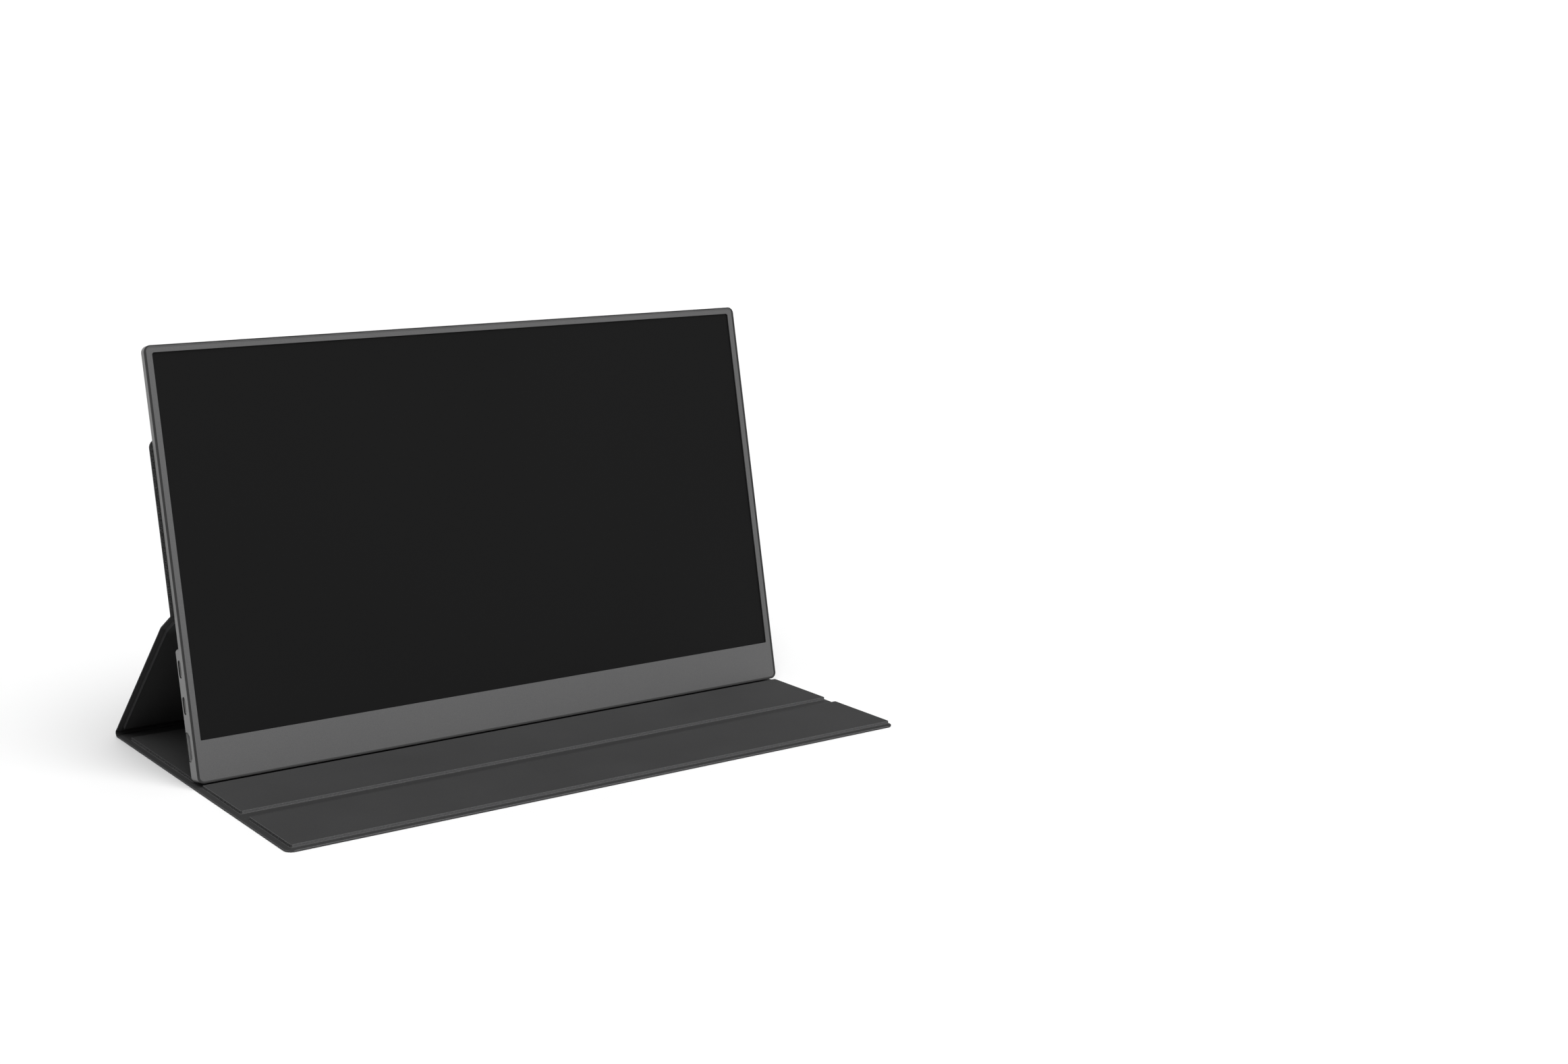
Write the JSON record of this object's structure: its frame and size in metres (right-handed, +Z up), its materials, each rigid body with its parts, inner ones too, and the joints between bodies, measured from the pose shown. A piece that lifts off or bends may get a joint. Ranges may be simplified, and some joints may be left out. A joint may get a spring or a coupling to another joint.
{
  "type": "portable monitor",
  "caption": "Slim flat-panel portable monitor leaning in the stand made by its folding magnetic cover, with sockets on one side and controls on the other.",
  "frame": {"origin": "middle of the footprint, on the surface that the cover lies on", "axes": "+X to the right seen from the front, +Y away from the viewer, +Z up"},
  "size_m": [0.3542, 0.2281, 0.2173],
  "materials": {
    "leatherette": "fine cross-hatched grain, matt",
    "stiffener": "plain glass-fibre board",
    "microfibre": "short brushed nap",
    "magnet": "nickel plated",
    "housing_metal": "fine blasted and anodised grey",
    "bezel_plastic": "fine speckled satin grey",
    "screen_glass": "polished, anti-reflective, black",
    "adhesive": "black double-sided tape",
    "diffuser_film": "white translucent film",
    "clear_acrylic": "clear polished acrylic",
    "tray_steel": "plain zinc-plated sheet",
    "circuit_board": "green solder mask",
    "flex_circuit": "amber polyimide",
    "foam": "closed-cell foam",
    "moulded_black": "moulded black",
    "connector_steel": "tin-plated shell",
    "key_plastic": "satin grey",
    "screw_steel": "black zinc"
  },
  "bodies": {
    "base": {"base_skin": "leatherette", "base_board": "stiffener", "base_pad": "microfibre"},
    "middle": {"middle_skin": "leatherette", "middle_board": "stiffener", "middle_pad": "microfibre"},
    "front": {"front_skin": "leatherette", "front_board": "stiffener", "front_magnets": "magnet", "front_pad": "microfibre"},
    "brace": {"brace_skin": "leatherette", "brace_board": "stiffener", "brace_pad": "microfibre"},
    "bridge": {"bridge_skin": "leatherette", "bridge_board": "stiffener", "bridge_pad": "microfibre"},
    "holder": {"holder_skin": "leatherette", "holder_board": "stiffener", "holder_magnets": "magnet", "holder_lining": "microfibre"},
    "display": {"front_bezel": "bezel_plastic", "bezel_tape": "adhesive", "lcd_panel": "screen_glass", "optical_films": "diffuser_film", "light_guide": "clear_acrylic", "reflector_sheet": "diffuser_film", "led_bar": "circuit_board", "panel_tray": "tray_steel", "driver_board": "circuit_board", "driver_flexes": "flex_circuit", "magnet_plates": "tray_steel", "foam_strips": "foam", "main_board": "circuit_board", "controller_chip": "moulded_black", "shield_can": "tray_steel", "display_cable": "flex_circuit", "key_cable": "flex_circuit", "speaker_leads": "flex_circuit", "speaker_left": "moulded_black", "speaker_right": "moulded_black", "usb_c_port_upper": "connector_steel", "usb_c_port_lower": "connector_steel", "hdmi_port": "connector_steel", "audio_jack": "moulded_black", "key_board": "circuit_board", "power_switch": "moulded_black", "menu_switches": "moulded_black", "rocker_bracket": "tray_steel", "rocker_pin": "screw_steel", "board_screws": "screw_steel", "housing_screws": "screw_steel", "rear_housing": "housing_metal"},
    "power_button": {"power_button": "key_plastic"},
    "menu_rocker": {"menu_rocker": "key_plastic"}
  },
  "joints": [
    {"name": "rear_fold", "type": "hinge", "parent": "base", "child": "brace", "pos_m": [0, 0.11325, 0.0008], "axis": [-1, 0, 0], "range_deg": [0, 136.5]},
    {"name": "brace_bend", "type": "hinge", "parent": "brace", "child": "bridge", "pos_m": [0, 0.03446, 0.07534], "axis": [-1, 0, 0], "range_deg": [0, 13]},
    {"name": "holder_fold", "type": "hinge", "parent": "bridge", "child": "holder", "pos_m": [0, 0.01954, 0.0841], "axis": [-1, 0, 0], "range_deg": [0, 70]},
    {"name": "display_pull", "type": "slide", "parent": "holder", "child": "display", "axis": [0, -0.9786, 0.2059], "range_m": [0, 0.06]},
    {"name": "middle_fold", "type": "hinge", "parent": "base", "child": "middle", "pos_m": [0, -0.00445, 0.0008], "axis": [-1, 0, 0], "range_deg": [0, 28]},
    {"name": "flap_fold", "type": "hinge", "parent": "middle", "child": "front", "pos_m": [0, -0.05885, 0.0008], "axis": [1, 0, 0], "range_deg": [-120, 0]},
    {"name": "power_press", "type": "slide", "parent": "display", "child": "power_button", "axis": [-1, 0, 0], "range_m": [0, 0.0004], "stiffness_N_per_m": 1500, "springref_m": -0.0002},
    {"name": "menu_rock", "type": "hinge", "parent": "display", "child": "menu_rocker", "pos_m": [0.1729, 0.00957, 0.04072], "axis": [0, -0.9786, 0.2059], "range_deg": [-3, 3], "stiffness_Nm_per_rad": 0.02}
  ]
}
